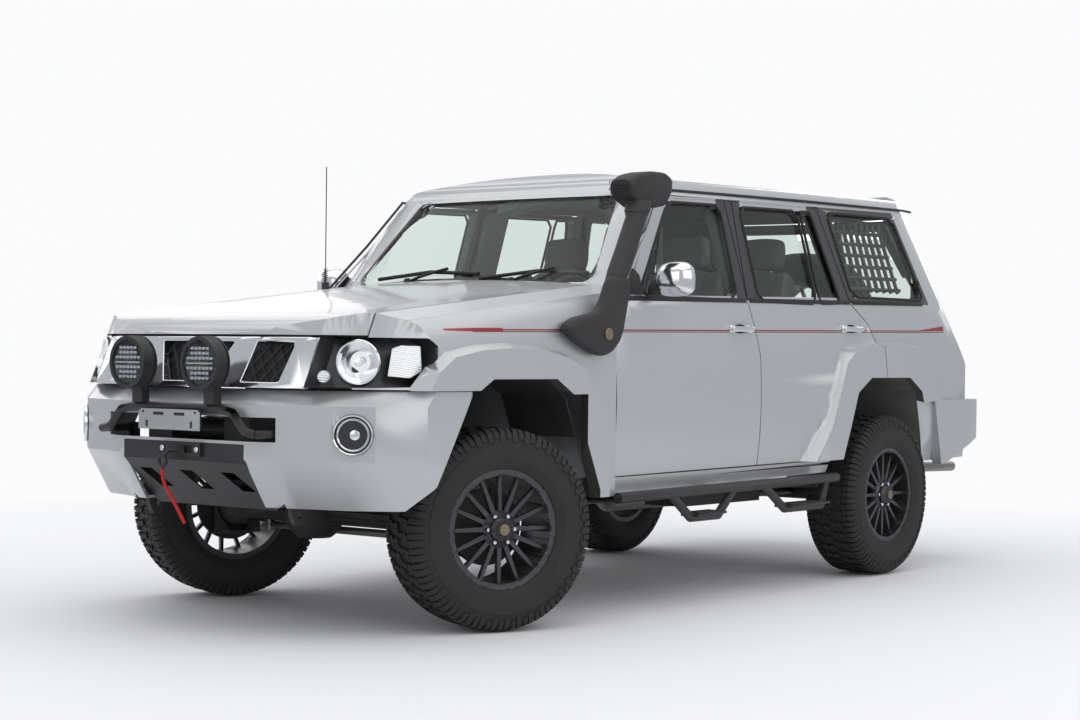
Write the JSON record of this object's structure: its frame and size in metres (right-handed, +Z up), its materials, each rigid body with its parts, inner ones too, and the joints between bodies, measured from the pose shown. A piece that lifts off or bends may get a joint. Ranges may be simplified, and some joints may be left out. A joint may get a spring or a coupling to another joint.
{
  "type": "lifted off-road 4x4",
  "caption": "Lifted four-door off-road estate with a winch bumper, snorkel, side steps, opening doors and bonnet, rolling wheels and working steering.",
  "frame": {"origin": "centre of the bounding box's underside, on the ground", "axes": "+X to the tail, +Y to the vehicle's right, +Z up"},
  "size_m": [5.392, 2.2388, 1.9995],
  "materials": {
    "silver_paint": "metallic satin",
    "black_paint": "satin",
    "chassis_paint": "matt",
    "wheel_paint": "satin",
    "black_plastic": "matt",
    "chrome": "polished",
    "steel": "brushed",
    "cast": "rough",
    "window_glass": "tinted",
    "lamp_glass": "clear",
    "red_lens": "gloss",
    "tyre": "matt",
    "seat_cloth": "woven",
    "strap": "woven"
  },
  "bodies": {
    "vehicle": {"ladder_frame": "chassis_paint", "body_shell": "silver_paint", "front_wings": "silver_paint", "flares": "silver_paint", "arch_liners": "black_plastic", "grille": "chrome", "headlamps": "lamp_glass", "front_bumper": "silver_paint", "bumper_guard": "black_paint", "lamp_hoop": "black_paint", "spot_lamps": "lamp_glass", "winch": "steel", "rear_bumper": "silver_paint", "tail_lamps": "red_lens", "fixed_glass": "window_glass", "side_steps": "black_paint", "snorkel": "black_plastic", "aerial": "black_plastic", "front_seats": "seat_cloth", "bench_seat": "seat_cloth", "dashboard": "black_plastic", "front_axle": "cast", "rear_axle": "cast", "suspension": "chassis_paint", "tow_points": "steel", "engine_block": "cast", "driveline": "steel", "fuel_tank": "black_plastic", "exhaust": "steel", "hook_strap": "strap"},
    "bonnet": {"bonnet": "silver_paint"},
    "front_left_door": {"door_front_left": "silver_paint", "glass_front_left": "window_glass", "mirror_left": "chrome"},
    "front_right_door": {"door_front_right": "silver_paint", "glass_front_right": "window_glass", "mirror_right": "chrome"},
    "rear_left_door": {"door_rear_left": "silver_paint", "glass_rear_left": "window_glass"},
    "rear_right_door": {"door_rear_right": "silver_paint", "glass_rear_right": "window_glass"},
    "left_tail_door": {"tail_door_left": "silver_paint", "tail_glass_left": "window_glass"},
    "right_tail_door": {"tail_door_right": "silver_paint", "tail_glass_right": "window_glass", "tyre_spare": "tyre", "rim_spare": "wheel_paint"},
    "left_knuckle": {"knuckle_left": "cast"},
    "right_knuckle": {"knuckle_right": "cast"},
    "steering_link": {"tie_rod": "steel"},
    "front_left_wheel": {"tyre_front_left": "tyre", "rim_front_left": "wheel_paint"},
    "front_right_wheel": {"tyre_front_right": "tyre", "rim_front_right": "wheel_paint"},
    "rear_left_wheel": {"tyre_rear_left": "tyre", "rim_rear_left": "wheel_paint"},
    "rear_right_wheel": {"tyre_rear_right": "tyre", "rim_rear_right": "wheel_paint"}
  },
  "joints": [
    {"name": "bonnet_hinge", "type": "hinge", "parent": "vehicle", "child": "bonnet", "pos_m": [-0.992, 0, 1.395], "axis": [0, 1, 0], "range_deg": [0, 55]},
    {"name": "front_left_door_hinge", "type": "hinge", "parent": "vehicle", "child": "front_left_door", "pos_m": [-0.969, -0.922, 0.75], "axis": [0, 0, -1], "range_deg": [0, 65]},
    {"name": "front_right_door_hinge", "type": "hinge", "parent": "vehicle", "child": "front_right_door", "pos_m": [-0.969, 0.922, 0.75], "axis": [0, 0, 1], "range_deg": [0, 65]},
    {"name": "rear_left_door_hinge", "type": "hinge", "parent": "vehicle", "child": "rear_left_door", "pos_m": [0.087, -0.922, 0.75], "axis": [0, 0, -1], "range_deg": [0, 65]},
    {"name": "rear_right_door_hinge", "type": "hinge", "parent": "vehicle", "child": "rear_right_door", "pos_m": [0.087, 0.922, 0.75], "axis": [0, 0, 1], "range_deg": [0, 65]},
    {"name": "left_tail_door_hinge", "type": "hinge", "parent": "vehicle", "child": "left_tail_door", "pos_m": [2.348, -0.722, 1], "axis": [0.0519, 0, -0.9987], "range_deg": [0, 90]},
    {"name": "right_tail_door_hinge", "type": "hinge", "parent": "vehicle", "child": "right_tail_door", "pos_m": [2.348, 0.722, 1], "axis": [-0.0519, 0, 0.9987], "range_deg": [0, 90]},
    {"name": "steer_left", "type": "hinge", "parent": "vehicle", "child": "left_knuckle", "pos_m": [-1.637, -0.684, 0.407], "axis": [0, 0, 1], "range_deg": [-8, 52]},
    {"name": "steer_right", "type": "hinge", "parent": "vehicle", "child": "right_knuckle", "pos_m": [-1.637, 0.684, 0.407], "axis": [0, 0, 1], "range_deg": [-8, 52]},
    {"name": "tie_rod_pivot", "type": "hinge", "parent": "left_knuckle", "child": "steering_link", "pos_m": [-1.49792, -0.74019, 0.322], "axis": [0, 0, 1], "range_deg": [-52, 8]},
    {"name": "roll_front_left", "type": "hinge", "parent": "left_knuckle", "child": "front_left_wheel", "pos_m": [-1.69019, -0.81566, 0.407], "axis": [0.3746, 0.9272, 0], "continuous": true},
    {"name": "roll_front_right", "type": "hinge", "parent": "right_knuckle", "child": "front_right_wheel", "pos_m": [-1.58381, 0.81566, 0.407], "axis": [0.3746, 0.9272, 0], "continuous": true},
    {"name": "roll_rear_left", "type": "hinge", "parent": "vehicle", "child": "rear_left_wheel", "pos_m": [1.333, -0.826, 0.407], "axis": [0, 1, 0], "continuous": true},
    {"name": "roll_rear_right", "type": "hinge", "parent": "vehicle", "child": "rear_right_wheel", "pos_m": [1.333, 0.826, 0.407], "axis": [0, 1, 0], "continuous": true}
  ],
  "couplings": [
    {"joint": "steer_right", "follows": "steer_left", "ratio": 1},
    {"joint": "tie_rod_pivot", "follows": "steer_left", "ratio": -1}
  ]
}
